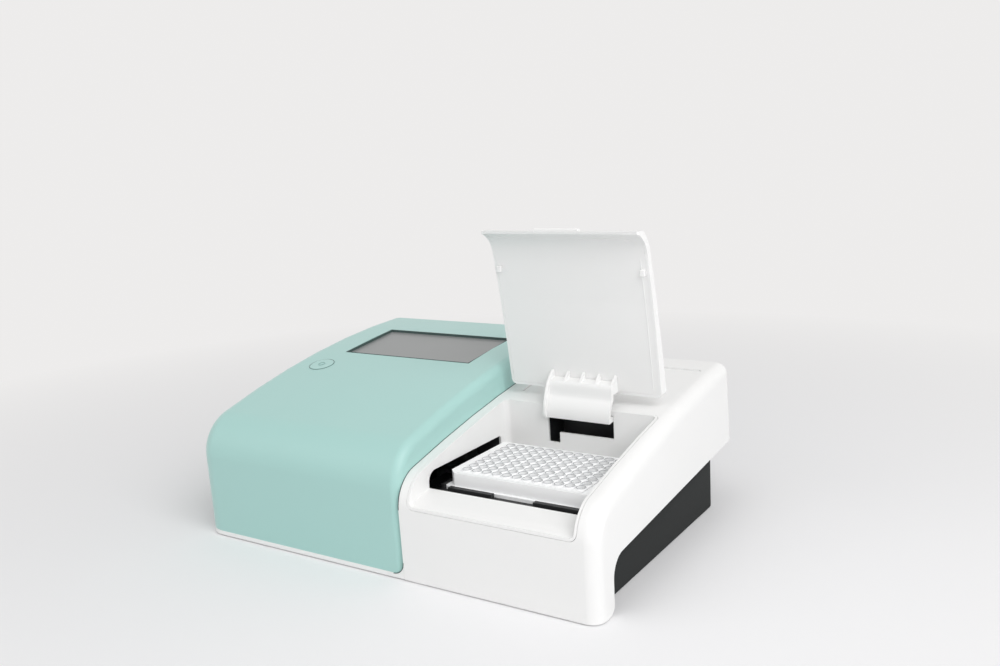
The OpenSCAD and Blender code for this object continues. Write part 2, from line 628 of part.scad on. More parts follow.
module carriage_bearings() color("#3a3c3e") for (y = rod_ys) difference() {
    block(bearing_x0, bearing_x1, y - 7, y + 7, rod_z - 7, carrier_z);
    rod_x(y, rod_z, rod_r + 0.05, bearing_x0 - 1, bearing_x1 + 1);
}
module guide_rods() color("#c8cacc") for (y = rod_ys) rod_x(y, rod_z, rod_r, rod_x0, rod_x1);
module rod_brackets() color("#55585a") for (y = rod_ys, x = [rod_x0, rod_x1 - 8]) difference() {
    union() {
        block(x, x + 8, y - 8, y + 8, deck_z, rod_z + 6.5);
        block(x - 1, x + 9, y - 12, y + 12, deck_z, deck_z + 3);
    }
    rod_x(y, rod_z, rod_r + 0.02, x - 1, x + 9);
}

// Microplate: a frame on a standard footprint, with twelve strips of eight wells
module microplate_frame() color("#e9ebec") {
    r = 3.2;
    difference() {
        union() {
            along_z(mp_bottom_z, 2.6) soft_rect(mp_x0, mp_x0 + mp_l, mp_y0, mp_y0 + mp_w, r);
            along_z(mp_bottom_z, mp_h - 1.2) difference() {
                soft_rect(mp_x0 + 1.9, mp_x0 + mp_l - 1.9, mp_y0 + 1.9, mp_y0 + mp_w - 1.9, r - 1);
                translate([mp_x0 + 1.9, mp_y0 + 1.9]) rotate(45) square([9, 9], center = true);
            }
        }
        block(mp_x0 + 9.4, mp_x0 + mp_l - 9.4, mp_y0 + 3.4, mp_y0 + mp_w - 3.4, mp_top_z - 2.4, 100);
        block(mp_x0 + 9.4, mp_x0 + mp_l - 9.4, mp_y0 + 5.6, mp_y0 + mp_w - 5.6, 50, 100);
    }
}
well_d = 10.7;
well_wall = 0.65;
module strip() {
    len = rows * well_pitch + 6;
    difference() {
        union() {
            block(-well_pitch / 2 + 0.2, well_pitch / 2 - 0.2, -7.5, len - 7.5, mp_top_z - 2.4, mp_top_z - 1);
            for (i = [0 : rows - 1]) translate([0, i * well_pitch, mp_top_z - well_d - well_wall])
                cylinder(r = well_r + well_wall, h = well_d + well_wall, $fn = 32);
        }
        for (i = [0 : rows - 1]) translate([0, i * well_pitch, mp_top_z - well_d])
            cylinder(r = well_r, h = well_d + 1, $fn = 32);
    }
}
module well_strips() color("#f4f6f7")
    for (i = [0 : columns - 1])
        translate([bay_x + (i - (columns - 1) / 2) * well_pitch, first_row_y, 0]) strip();

// Belt drive that moves the carrier
module loop(r) hull() for (x = [motor_x, idler_x]) translate([x, belt_z]) circle(r, $fn = 32);
module drive_belt() color("#2c2c2c") along_y(belt_y - 3, 6) difference() {
    loop(pulley_r + belt_t);
    loop(pulley_r);
}
module pulley(x) translate([x, belt_y, belt_z]) rotate([90, 0, 0]) difference() {
    rotate_extrude($fn = fine) polygon([[0, -4.5], [pulley_r + 2, -4.5], [pulley_r + 2, -3.7], [pulley_r - 0.1, -3.4],
        [pulley_r - 0.1, 3.4], [pulley_r + 2, 3.7], [pulley_r + 2, 4.5], [0, 4.5]]);
    for (i = [0 : 15]) rotate(i * 22.5 + 11) translate([pulley_r - 0.7, -0.5, -3.2]) cube([1.5, 1, 6.4]);
}
motor_y = belt_y + 9;
shaft_r = 2.5;
module drive_pulley() color("#c0c2c4") {
    pulley(motor_x);
    rod_y(motor_x, belt_z, shaft_r, belt_y + 3, motor_y + 12);
}
module idler_pulley() color("#c0c2c4") difference() {
    pulley(idler_x);
    rod_y(idler_x, belt_z, shaft_r + 0.05, 0, 60);
}
module idler_post() color("#55585a") {
    block(idler_x - 7, idler_x + 7, belt_y + 5.2, belt_y + 8.2, deck_z, belt_z + 5);
    block(idler_x - 7, idler_x + 7, belt_y - 4, belt_y + 8.2, deck_z, deck_z + 3);
    rod_y(idler_x, belt_z, shaft_r, belt_y - 5.5, belt_y + 6);
}
module carriage_motor() color("#2b2d30") difference() {
    union() {
        along_y(motor_y + 3, 34) difference() {
            translate([motor_x - 21, belt_z - 21]) square(42);
            for (a = [45 : 90 : 315]) translate([motor_x, belt_z]) rotate(a) translate([27, -10]) square(20);
        }
        rod_y(motor_x, belt_z, 11, motor_y + 1, motor_y + 4);
    }
    rod_y(motor_x, belt_z, shaft_r + 0.05, motor_y - 1, motor_y + 14);
}
module motor_bracket() color("#8d9092") difference() {
    union() {
        block(motor_x - 22, motor_x + 22, motor_y, motor_y + 3, deck_z, belt_z + 22);
        block(motor_x - 22, motor_x + 22, motor_y, motor_y + 30, deck_z, deck_z + 3);
    }
    rod_y(motor_x, belt_z, 11.3, motor_y - 1, motor_y + 4);
}

// Optics: a rear post and beam over the plate's path, with the detectors above the wells
post_y = carrier_y1 + 2.8;
beam_z = mp_top_z + 18;
module optics_frame() color("#7d8083") {
    along_x(optic_x - 15, 30) polygon([[post_y, deck_z], [post_y, beam_z - 6], [post_y - 6, beam_z],
        [carrier_y0 - 6, beam_z], [carrier_y0 - 6, beam_z + 5.5], [post_y + 12, beam_z + 5.5],
        [post_y + 12, deck_z + 8], [post_y + 29, deck_z + 4], [post_y + 29, deck_z]]);
}
row_ys = [for (i = [0 : rows - 1]) first_row_y + i * well_pitch];
module detector_head() color("#1f2123") difference() {
    block(optic_x - 13, optic_x + 13, first_row_y - 9, first_row_y + 72, mp_top_z + 2, beam_z);
    for (y = row_ys) rod_z(optic_x, y, 2.4, mp_top_z + 1, mp_top_z + 12);
}
module illumination_block() color("#1f2123") difference() {
    union() {
        block(optic_x - 13, optic_x + 13, first_row_y - 9, first_row_y + 72, deck_z + 8, 41);
        block(optic_x - 9, optic_x + 9, first_row_y + 10, first_row_y + 53, deck_z, deck_z + 9);
    }
    for (y = row_ys) rod_z(optic_x, y, 2, 24, 50);
}

// Filter wheel between the lamp and the lens tube
module filter_plate() color("#7d8083") difference() {
    union() {
        block(plate_x, plate_x + 3, wheel_y - 26, wheel_y + 22, deck_z, wheel_z + 34);
        block(plate_x, plate_x + 16, wheel_y - 26, wheel_y + 22, deck_z, deck_z + 3);
    }
    rod_x(wheel_y, wheel_z, 4, plate_x - 1, plate_x + 4);
    rod_x(wheel_y, wheel_z + filter_r, 6.02, plate_x - 1, plate_x + 4);
}
module lens_tube() color("#2a2b2c") difference() {
    union() {
        rod_x(wheel_y, wheel_z + filter_r, 6, plate_x - 0.5, plate_x + 26);
        rod_x(wheel_y, wheel_z + filter_r, 8, plate_x + 3, plate_x + 7);
    }
    rod_x(wheel_y, wheel_z + filter_r, 4.6, plate_x - 1, plate_x + 24);
}
module filter_wheel() color("#36383a") difference() {
    union() {
        rod_x(wheel_y, wheel_z, wheel_r, wheel_x, wheel_x + 4);
        rod_x(wheel_y, wheel_z, 7, wheel_x - 2, wheel_x + 6);
        rod_x(wheel_y, wheel_z, 2, wheel_x, plate_x + 14);
    }
    for (a = [0 : 45 : 315]) rod_x(wheel_y + filter_r * sin(a), wheel_z + filter_r * cos(a), 6, wheel_x - 1, wheel_x + 5);
}
module filter_glasses() color("#7a4f8c") for (a = [0 : 45 : 315])
    rod_x(wheel_y + filter_r * sin(a), wheel_z + filter_r * cos(a), 5.98, wheel_x + 0.5, wheel_x + 3.5);
module filter_motor() color("#a9acae") difference() {
    union() {
        rod_x(wheel_y, wheel_z, 11, plate_x + 3, plate_x + 23);
        block(plate_x + 3, plate_x + 6, wheel_y - 17, wheel_y + 17, wheel_z - 6, wheel_z + 6);
    }
    rod_x(wheel_y, wheel_z, 2.05, plate_x, plate_x + 16);
}
lamp_x1 = wheel_x - 5;
lamp_x0 = lamp_x1 - 40;
module lamp_housing() color("#8f9294") difference() {
    union() {
        block(lamp_x0, lamp_x1, wheel_y - 18, wheel_y + 18, wheel_z + 4, wheel_z + 40);
        for (i = [0 : 6]) block(lamp_x0 + 1 + i * 6, lamp_x0 + 3 + i * 6, wheel_y - 24, wheel_y + 24, wheel_z + 4, wheel_z + 38);
        block(lamp_x0 + 4, lamp_x1 - 4, wheel_y - 14, wheel_y + 14, deck_z, wheel_z + 5);
    }
    rod_x(wheel_y, wheel_z + filter_r, 11, lamp_x0 + 6, lamp_x1 - 4);
    rod_x(wheel_y, wheel_z + filter_r, 6, lamp_x1 - 5, lamp_x1 + 1);
}
module lamp() color("#dfe4e8") {
    rod_x(wheel_y, wheel_z + filter_r, 4.5, lamp_x0 + 6, lamp_x0 + 16);
    rod_x(wheel_y, wheel_z + filter_r, 3.2, lamp_x0 + 15, lamp_x0 + 26);
    translate([lamp_x0 + 26, wheel_y, wheel_z + filter_r]) sphere(r = 3.2, $fn = 32);
}

// Electronics
module mainboard() color("#2f6b4a") {
    x1 = plate_w - 16;
    difference() {
        block(14, x1, rear_y - 98, rear_y - 8, board_z, board_z + 1.6);
        for (x = [19, x1 - 5], y = [rear_y - 93, rear_y - 30]) rod_z(x, y, 1.6, board_z - 1, board_z + 3);
    }
    for (x = [19, x1 - 5], y = [rear_y - 93, rear_y - 30]) difference() {
        rod_z(x, y, 3, deck_z, board_z + 0.01);
        rod_z(x, y, 1.6, deck_z + 2, board_z + 3);
    }
    block(60, 78, rear_y - 70, rear_y - 52, board_z + 1.6, board_z + 4);
    block(92, 104, rear_y - 66, rear_y - 54, board_z + 1.6, board_z + 3.6);
    for (i = [0 : 3]) rod_z(30 + 10 * i, rear_y - 88, 3.2, board_z + 1.6, board_z + 12);
    block(24, 48, rear_y - 66, rear_y - 60, board_z + 1.6, board_z + 10);
}
module power_supply() color("#b4b7b9") {
    x0 = chassis_x0 + 7;
    x1 = x0 + 50;
    y0 = 92;
    y1 = rear_y - 26;
    difference() {
        block(x0, x1, y0, y1, deck_z, deck_z + 36);
        block(x0 + 1.5, x1 - 1.5, y0 + 1.5, y1 - 1.5, deck_z + 1.5, deck_z + 34.5);
        for (i = [0 : 9]) block(x0 + 8, x1 - 8, y0 + 14 + i * 11, y0 + 18 + i * 11, deck_z + 30, deck_z + 40);
    }
}
module fan_frame() color("#28292a") difference() {
    block(fan_x - fan_size / 2, fan_x + fan_size / 2, rear_y - chassis_t - 10, rear_y - chassis_t,
          fan_z - fan_size / 2, fan_z + fan_size / 2);
    rod_y(fan_x, fan_z, fan_size / 2 - 1.5, rear_y - chassis_t - 11, rear_y - chassis_t - 2.5);
    difference() {
        rod_y(fan_x, fan_z, fan_size / 2 - 1.5, rear_y - chassis_t - 5, rear_y - chassis_t + 1);
        rod_y(fan_x, fan_z, 9.5, rear_y - chassis_t - 2.6, rear_y - chassis_t + 2);
        for (a = [30 : 120 : 270]) translate([fan_x, 0, fan_z]) rotate([0, a, 0])
            block(0, fan_size / 2, rear_y - chassis_t - 2.6, rear_y - chassis_t, -1.2, 1.2);
    }
    rod_y(fan_x, fan_z, 1.55, rear_y - chassis_t - 3, rear_y - chassis_t - 1);
}
module fan_rotor() color("#1c1d1e") {
    y1 = rear_y - chassis_t - 3;
    rod_y(fan_x, fan_z, 8.5, y1 - 6.4, y1);
    rod_y(fan_x, fan_z, 1.5, y1 - 1, y1 + 1.6);
    intersection() {
        for (a = [0 : 51.43 : 310]) translate([fan_x, y1 - 3.2, fan_z]) rotate([0, a, 0]) rotate([32, 0, 0])
            translate([7.5, -3.1, -0.6]) cube([fan_size / 2 - 9.7, 6.2, 1.2]);
        rod_y(fan_x, fan_z, fan_size / 2 - 2.3, y1 - 6.4, y1);
    }
}
module power_inlet() color("#1c1d1e") {
    difference() {
        union() {
            block(inlet_x - 17, inlet_x + 17, rear_y, rear_y + 2, port_z - 12.5, port_z + 12.5);
            block(inlet_x - 13.6, inlet_x + 13.6, rear_y - 18, rear_y + 1, port_z - 9.8, port_z + 9.8);
        }
        along_y(rear_y - 15, 20) polygon([[inlet_x - 12, port_z - 8], [inlet_x + 12, port_z - 8],
            [inlet_x + 12, port_z + 3], [inlet_x + 7, port_z + 8], [inlet_x - 7, port_z + 8], [inlet_x - 12, port_z + 3]]);
    }
    for (x = [-7, 0, 7]) block(inlet_x + x - 1, inlet_x + x + 1, rear_y - 16, rear_y - 1,
                               port_z - 4 + (x == 0 ? 5 : 0), port_z + (x == 0 ? 5 : 0));
}
rocker_r = 13;
module switch_bezel() color("#1c1d1e") difference() {
    union() {
        block(switch_x - 13, switch_x + 13, rear_y, rear_y + 1.8, port_z - 10, port_z + 10);
        block(switch_x - 10.9, switch_x + 10.9, rear_y - 14, rear_y + 1, port_z - 7.9, port_z + 7.9);
    }
    block(switch_x - 9.4, switch_x + 9.4, rear_y - 12.5, rear_y + 5, port_z - 6.6, port_z + 6.6);
}
module rocker_switch() color("#2a2b2c") translate([switch_x, rear_y - 5, port_z]) rotate([8, 0, 0]) {
    along_x(-9.1, 18.2) polygon([[-2.5, -4], [4.2, -5.9], [6.6, -5.6], [5.4, 0], [6.6, 5.6], [4.2, 5.9], [-2.5, 4]]);
    rod_x(0, 0, 1, -9.35, 9.35);
}
module data_ports() color("#b9bcbe") {
    z0 = board_z + 1.6;
    difference() {
        block(usb_x - 6, usb_x + 6, rear_y - 20, rear_y + 0.5, z0, z0 + 11);
        block(usb_x - 4.8, usb_x + 4.8, rear_y - 12, rear_y + 2, z0 + 1.4, z0 + 9.6);
    }
    block(usb_x - 2.6, usb_x + 2.6, rear_y - 13, rear_y - 2, z0 + 4, z0 + 7);
    difference() {
        union() {
            block(serial_x - 15.4, serial_x + 15.4, rear_y - 12, rear_y + 0.5, z0, z0 + 12.2);
            along_y(rear_y, 6) offset(r = 1.5) polygon([[serial_x - 7, z0 + 3.4], [serial_x + 7, z0 + 3.4],
                                                        [serial_x + 8.2, z0 + 9], [serial_x - 8.2, z0 + 9]]);
        }
        along_y(rear_y + 1, 8) offset(r = 0.8) polygon([[serial_x - 7, z0 + 3.4], [serial_x + 7, z0 + 3.4],
                                                        [serial_x + 8.2, z0 + 9], [serial_x - 8.2, z0 + 9]]);
    }
}

at_seam() chassis();
at_seam() rubber_feet();
at_seam() plate_housing();
at_seam() display_housing();
at_seam() base_trim();
at_seam() plate_bay();
at_seam() service_cover();
at_seam() lid_shell();
at_seam() lid_liner();
at_seam() hinge_arm();
at_seam() hinge_pin();
at_seam() hinge_housing();
at_seam() plate_carrier();
at_seam() carriage_bearings();
at_seam() microplate_frame();
at_seam() well_strips();
at_seam() guide_rods();
at_seam() rod_brackets();
at_seam() drive_belt();
at_seam() drive_pulley();
at_seam() idler_pulley();
at_seam() idler_post();
at_seam() carriage_motor();
at_seam() motor_bracket();
at_seam() optics_frame();
at_seam() detector_head();
at_seam() illumination_block();
at_seam() lens_tube();
at_seam() filter_plate();
at_seam() filter_wheel();
at_seam() filter_glasses();
at_seam() filter_motor();
at_seam() lamp_housing();
at_seam() lamp();
at_seam() touch_panel();
at_seam() display_module();
at_seam() power_button();
at_seam() button_guide();
at_seam() button_switch();
at_seam() mainboard();
at_seam() power_supply();
at_seam() fan_frame();
at_seam() fan_rotor();
at_seam() power_inlet();
at_seam() switch_bezel();
at_seam() rocker_switch();
at_seam() data_ports();
at_seam() chassis_screws();
at_seam() passage_hood();
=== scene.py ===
import bpy
import bmesh
import json
import math
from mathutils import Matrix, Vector
from mathutils.bvhtree import BVHTree


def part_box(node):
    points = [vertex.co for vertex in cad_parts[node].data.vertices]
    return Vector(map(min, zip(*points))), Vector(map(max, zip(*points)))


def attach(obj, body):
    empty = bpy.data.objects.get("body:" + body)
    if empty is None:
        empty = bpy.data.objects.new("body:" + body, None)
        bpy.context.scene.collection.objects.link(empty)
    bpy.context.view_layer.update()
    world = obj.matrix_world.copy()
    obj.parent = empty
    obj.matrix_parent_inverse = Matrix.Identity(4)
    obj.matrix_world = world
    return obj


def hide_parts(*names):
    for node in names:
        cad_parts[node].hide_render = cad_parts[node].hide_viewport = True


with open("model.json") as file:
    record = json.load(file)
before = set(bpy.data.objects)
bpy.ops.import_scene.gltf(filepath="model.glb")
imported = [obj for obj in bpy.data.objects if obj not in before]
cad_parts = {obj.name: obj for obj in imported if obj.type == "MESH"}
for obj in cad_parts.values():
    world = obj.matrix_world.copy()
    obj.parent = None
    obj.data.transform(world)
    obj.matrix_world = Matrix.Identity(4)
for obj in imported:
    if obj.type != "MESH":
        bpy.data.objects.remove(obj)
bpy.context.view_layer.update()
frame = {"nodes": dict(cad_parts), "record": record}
nodes = frame["nodes"]
slotOf = {entry["node"]: entry["material_slot"] for entry in frame["record"]["subparts"]}
bodyOf = {}
for bodyName, nodeNames in frame["record"]["behaviour"]["bodies"].items():
    for nodeName in nodeNames:
        bodyOf[nodeName] = bodyName
print("frame loaded,", len(nodes), "nodes")


def feed(tree, slot, value):  # a link from a Flow, or a plain value
    if isinstance(value, Flow):
        tree.links.new(value.socket, slot)
    else:
        slot.default_value = value


class Flow:  # one socket, with operators that add Math nodes
    def __init__(self, tree, socket):
        self.tree = tree
        self.socket = socket

    def math(self, operation, *others):
        node = self.tree.nodes.new("ShaderNodeMath")
        node.operation = operation
        for slot, value in zip(node.inputs, (self, *others)):
            feed(self.tree, slot, value)
        return Flow(self.tree, node.outputs[0])

    def __add__(self, other):
        return self.math("ADD", other)

    def __mul__(self, other):
        return self.math("MULTIPLY", other)

    __radd__ = __add__
    __rmul__ = __mul__


class Shading:  # a node tree being built
    def __init__(self, tree):
        self.tree = tree

    def add(self, kind, out=0, settings=None, **values):  # i0 stands for socket number 0
        node = self.tree.nodes.new(kind)
        for label, value in (settings or {}).items():
            if label == "stops":
                for stop, (position, shade) in zip(node.color_ramp.elements, value):
                    stop.position = position
                    stop.color = (shade, shade, shade, 1)
            else:
                setattr(node, label, value)
        for label, value in values.items():
            numbered = label[0] == "i" and label[1:].isdigit()
            slot = node.inputs[int(label[1:]) if numbered else label.replace("_", " ")]
            feed(self.tree, slot, value)
        return Flow(self.tree, node.outputs[out])

    def surface(self, output, factor, first, second):  # two shaders blended into the tree's output
        blend = self.add("ShaderNodeMixShader", i0=factor, i1=first, i2=second)
        feed(self.tree, self.tree.nodes[output].inputs["Surface"], blend)

    def seenRays(self):  # 1 for the rays that show a surface, 0 for those that only carry light
        camera, glossy, through = [self.add("ShaderNodeLightPath", out="Is " + ray + " Ray")
                                   for ray in ("Camera", "Glossy", "Transmission")]
        return camera.math("MAXIMUM", glossy).math("MAXIMUM", through)


class Finish(Shading):  # a material being built round its Principled shader
    def __init__(self, name, roughness, **sockets):
        self.material = bpy.data.materials.new(name)
        self.material.use_nodes = True
        super().__init__(self.material.node_tree)
        self.shader = self.tree.nodes["Principled BSDF"]
        self.set("Roughness", roughness)
        for label, value in sockets.items():
            self.set(label.replace("_", " "), value)
        self.here = self.add("ShaderNodeTexCoord", out="Object")

    def set(self, label, value):
        feed(self.tree, self.shader.inputs[label], value)

    def noise(self, scale, detail, rough=0.5, vector=None):
        return self.add("ShaderNodeTexNoise", out="Fac", Vector=vector or self.here,
                        Scale=scale, Detail=detail, Roughness=rough)

    def tone(self, factor, first, second):  # the base colour runs from the first to the second
        self.set("Base Color", self.add("ShaderNodeMix", out=2, settings={"data_type": "RGBA"},
                                        i0=factor, i6=(*first, 1), i7=(*second, 1)))

    def bump(self, height, strength, distance):
        self.set("Normal", self.add("ShaderNodeBump", Height=height, Strength=strength, Distance=distance))
        return self.material


# satin moulded skin: broad clouds of tone, some dust and a fine grain
moulded = {"cloudScale": 9.0, "speckScale": 2600.0, "dustScale": 55.0, "pebbleScale": 900.0,
           "dustStops": [(0.62, 0.0), (0.80, 1.0)], "cloudTone": 0.5, "dustTone": 0.12,
           "cloudRough": 0.10, "speckRough": 0.06, "roughMiddle": 0.07, "pebble": 0.5, "depth": 0.00025,
           "sheenRough": 0.35}


def mouldedPlastic(name, base, dark, grain=0.12, rough=0.40, sheen=0.0):
    finish = Finish(name, rough, Specular_IOR_Level=0.5, Sheen_Weight=sheen,
                    Sheen_Roughness=moulded["sheenRough"])
    cloud = finish.noise(moulded["cloudScale"], detail=3.0)
    speck = finish.noise(moulded["speckScale"], detail=2.0, rough=0.6)
    pebble = finish.noise(moulded["pebbleScale"], detail=1.0)
    dust = finish.add("ShaderNodeValToRGB", settings={"stops": moulded["dustStops"]},
                      Fac=finish.noise(moulded["dustScale"], detail=6.0, rough=0.7))
    finish.tone(cloud * moulded["cloudTone"] + dust * moulded["dustTone"], base, dark)
    finish.set("Roughness", cloud * moulded["cloudRough"] + speck * moulded["speckRough"]
               + (rough - moulded["roughMiddle"]))
    return finish.bump(speck + pebble * moulded["pebble"], grain, moulded["depth"])


# powder coat: flecks in tone, gloss and height
powder = {"scale": 1500.0, "tone": 0.5, "darkest": 0.82, "rough": 0.18, "depth": 0.0004}


def coatedMetal(name, base, grain=0.25, shine=0.5, rough=0.38):
    finish = Finish(name, 0.5, Specular_IOR_Level=shine)
    fleck = finish.noise(powder["scale"], detail=3.0, rough=0.7)
    finish.tone(fleck * powder["tone"], base, [part * powder["darkest"] for part in base])
    finish.set("Roughness", fleck * powder["rough"] + rough)
    return finish.bump(fleck, grain, powder["depth"])


# ground or brushed metal: streaks along one axis
brushed = {"stretch": (1.0, 60.0, 60.0), "scale": 30.0, "tone": 0.5, "darkest": 0.8, "rough": 0.22,
           "strength": 0.08, "depth": 0.0002}


def bareMetal(name, base, rough=0.3):
    finish = Finish(name, rough, Metallic=1.0)
    along = finish.add("ShaderNodeMapping", Vector=finish.here, Scale=brushed["stretch"])
    streak = finish.noise(brushed["scale"], detail=4.0, rough=0.6, vector=along)
    finish.tone(streak * brushed["tone"], base, [part * brushed["darkest"] for part in base])
    finish.set("Roughness", streak * brushed["rough"] + (rough - brushed["rough"] / 2))
    return finish.bump(streak, brushed["strength"], brushed["depth"])


finishes = {
    "green_shell": mouldedPlastic("greenShell", (0.385, 0.625, 0.590), (0.365, 0.605, 0.570), sheen=0.36),
    "white_shell": mouldedPlastic("whiteShell", (0.86, 0.86, 0.855), (0.82, 0.82, 0.815)),
    "dark_pan": coatedMetal("darkPan", (0.026, 0.028, 0.028), 0.25, 0.15, 0.62),
    "rubber_black": mouldedPlastic("rubberBlack", (0.012, 0.012, 0.012), (0.02, 0.02, 0.02), 0.3, 0.8),
    "black_plastic": mouldedPlastic("blackPlastic", (0.014, 0.015, 0.016), (0.022, 0.022, 0.024), 0.2, 0.48),
    "screen_grey": mouldedPlastic("screenGrey", (0.26, 0.27, 0.27), (0.24, 0.25, 0.25), 0.03, 0.30),
    "clear_plate": mouldedPlastic("clearPlate", (0.94, 0.945, 0.95), (0.91, 0.915, 0.92), 0.03, 0.30),
    "steel": bareMetal("groundSteel", (0.62, 0.63, 0.64)),
    "grey_metal": coatedMetal("greyMetal", (0.20, 0.21, 0.22)),
    "alu": bareMetal("aluminium", (0.66, 0.67, 0.68), 0.38),
    "board_green": mouldedPlastic("boardGreen", (0.02, 0.12, 0.06), (0.015, 0.09, 0.05), 0.1, 0.35),
    "filter_glass": mouldedPlastic("filterGlass", (0.18, 0.07, 0.26), (0.14, 0.05, 0.22), 0.0, 0.08),
    "lamp_glass": mouldedPlastic("lampGlass", (0.75, 0.78, 0.82), (0.7, 0.74, 0.8), 0.0, 0.06),
    "button_plastic": mouldedPlastic("buttonPlastic", (0.395, 0.635, 0.600), (0.375, 0.615, 0.580),
                                     sheen=0.36),
    # painted shadow: a darkened green for the seam's gap, the screen's recess and the button's gap
    "jointShadow": mouldedPlastic("jointShadow", (0.060, 0.100, 0.094), (0.050, 0.085, 0.080), 0.1, 0.6),
    "wellRimShade": mouldedPlastic("wellRimShade", (0.20, 0.21, 0.23), (0.17, 0.18, 0.20), 0.0, 0.5),
    "markGreen": mouldedPlastic("markGreen", (0.20, 0.36, 0.34), (0.18, 0.33, 0.31), 0.1, 0.5),
}
for nodeName, thing in nodes.items():
    thing.data.materials.clear()
    thing.data.materials.append(finishes[slotOf[nodeName]])
print("finishes made,", len(finishes))

# places are worked out in millimetres from the seam between the housings, its front and the table
seam = {"x": 28.0, "y": -141.0}


def place(x, y, z):
    return Vector((x + seam["x"], y + seam["y"], z)) / 1000


def pickUp(piece):
    bpy.ops.object.select_all(action="DESELECT")
    piece.select_set(True)
    bpy.context.view_layer.objects.active = piece


def editAll(piece):
    pickUp(piece)
    bpy.ops.object.mode_set(mode="EDIT")
    bpy.ops.mesh.select_all(action="SELECT")


def faceOut():  # the edit ends with every normal pointing outwards
    bpy.ops.mesh.select_all(action="SELECT")
    bpy.ops.mesh.normals_make_consistent(inside=False)
    bpy.ops.object.mode_set(mode="OBJECT")


def link(name, data):
    piece = bpy.data.objects.new(name, data)
    bpy.context.scene.collection.objects.link(piece)
    return piece


# how far apart corners may be, and how bent a face, to count as one
merge = {"distance": 0.000004, "bend": 0.4}


def mergedCopy(nodeName, name):  # the node's triangles joined into one surface
    piece = link(name, nodes[nodeName].data.copy())
    editAll(piece)
    bpy.ops.mesh.remove_doubles(threshold=merge["distance"])
    bpy.ops.mesh.dissolve_limited(angle_limit=math.radians(merge["bend"]))
    bpy.ops.object.mode_set(mode="OBJECT")
    return piece


def readMesh(piece):
    shape = bmesh.new()
    shape.from_mesh(piece.data)
    return shape


def writeMesh(shape, mesh):
    shape.to_mesh(mesh)
    shape.free()


def everything(shape):
    return shape.verts[:] + shape.edges[:] + shape.faces[:]


def addChain(shape, last, spots):  # a row of edges that goes on from the last vertex
    for spot in spots:
        vertex = shape.verts.new(spot)
        if last:
            shape.edges.new((last, vertex))
        last = vertex


def useModifier(piece, kind, **settings):
    pickUp(piece)
    modifier = piece.modifiers.new("shape", kind)
    for label, value in settings.items():
        setattr(modifier, label, value)
    bpy.ops.object.modifier_apply(modifier="shape")


def softEdges(piece, width, parts=2, steep=40):
    useModifier(piece, "BEVEL", width=width, segments=parts, limit_method="ANGLE",
                angle_limit=math.radians(steep))


def done(piece, body, slot, finish=None, angle=32.0, replaced=None):  # finish, body and shading of a piece
    pickUp(piece)
    bpy.ops.object.transform_apply(location=True, rotation=True, scale=True)
    bpy.ops.object.shade_smooth_by_angle(angle=math.radians(angle))
    useModifier(piece, "WEIGHTED_NORMAL", keep_sharp=True)
    piece.data.materials.clear()
    piece.data.materials.append(finish or finishes[slot])
    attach(piece, body)
    if replaced:
        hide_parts(replaced)


def prism(name, outline, start, end, alongY=False):  # side points [y, z], or front points [x, z] along Y
    bpy.ops.mesh.primitive_circle_add(vertices=len(outline), radius=0.01, fill_type="NGON")
    piece = bpy.context.object
    piece.name = name
    for vertex, (across, z) in zip(piece.data.vertices, outline):
        vertex.co = place(across, start, z) if alongY else place(start, across, z)
    length = (end - start) / 1000
    editAll(piece)
    bpy.ops.mesh.extrude_region_move(
        TRANSFORM_OT_translate={"value": (0, length, 0) if alongY else (length, 0, 0)})
    faceOut()
    return piece


def torus(name, radius, bead, around, sides, where, turn=(0.0, 0.0, 0.0)):
    bpy.ops.mesh.primitive_torus_add(location=where, rotation=turn, major_radius=radius, minor_radius=bead,
                                     major_segments=around, minor_segments=sides)
    piece = bpy.context.object
    piece.name = name
    return piece


def joinAll(name, pieces):
    pickUp(pieces[0])
    for piece in pieces[1:]:
        piece.select_set(True)
    bpy.ops.object.join()
    joined = bpy.context.object
    joined.name = name
    return joined


def tube(piece, radius):  # a chain of edges made a round bead
    pickUp(piece)
    bpy.ops.object.convert(target="CURVE")
    piece = bpy.context.object
    piece.data.dimensions = "3D"
    piece.data.bevel_depth = radius
    piece.data.bevel_resolution = 2
    piece.data.use_fill_caps = True
    bpy.ops.object.convert(target="MESH")
    return bpy.context.object


# pieces that only have their edges softened, by the edges' width
skins = {"plate_bay": 0.0004, "lid_shell": 0.0005, "hinge_arm": 0.0003, "service_cover": 0.0004,
         "plate_carrier": 0.0003, "chassis": 0.0005, "base_trim": 0.0004, "power_button": 0.0}
for nodeName, width in skins.items():
    skin = mergedCopy(nodeName, nodeName + "_skin")
    if width:
        softEdges(skin, width)
    done(skin, bodyOf[nodeName], slotOf[nodeName], replaced=nodeName)
print("skins made,", len(skins))

# white plate housing, its leg's lower rear corner rounded
leg = {"depth": 25.0, "slack": 0.0004, "low": 0.003, "span": 0.03, "corner": 0.007, "parts": 6,
       "edge": 0.0006}


def makePlateHousing():
    skin = mergedCopy("plate_housing", "plate_housing_skin")
    shape = readMesh(skin)
    right = max(v.co.x for v in shape.verts)
    heel = place(0, leg["depth"], 0).y
    edges = [e for e in shape.edges if max(v.co.x for v in e.verts) > right - leg["span"]
             and all(abs(v.co.y - heel) < leg["slack"] and v.co.z < leg["low"] for v in e.verts)]
    print("leg corner edges", len(edges))
    bmesh.ops.bevel(shape, geom=edges, offset=leg["corner"], segments=leg["parts"], profile=0.5,
                    affect="EDGES")
    writeMesh(shape, skin.data)
    softEdges(skin, leg["edge"])
    done(skin, bodyOf["plate_housing"], "white_shell", replaced="plate_housing")


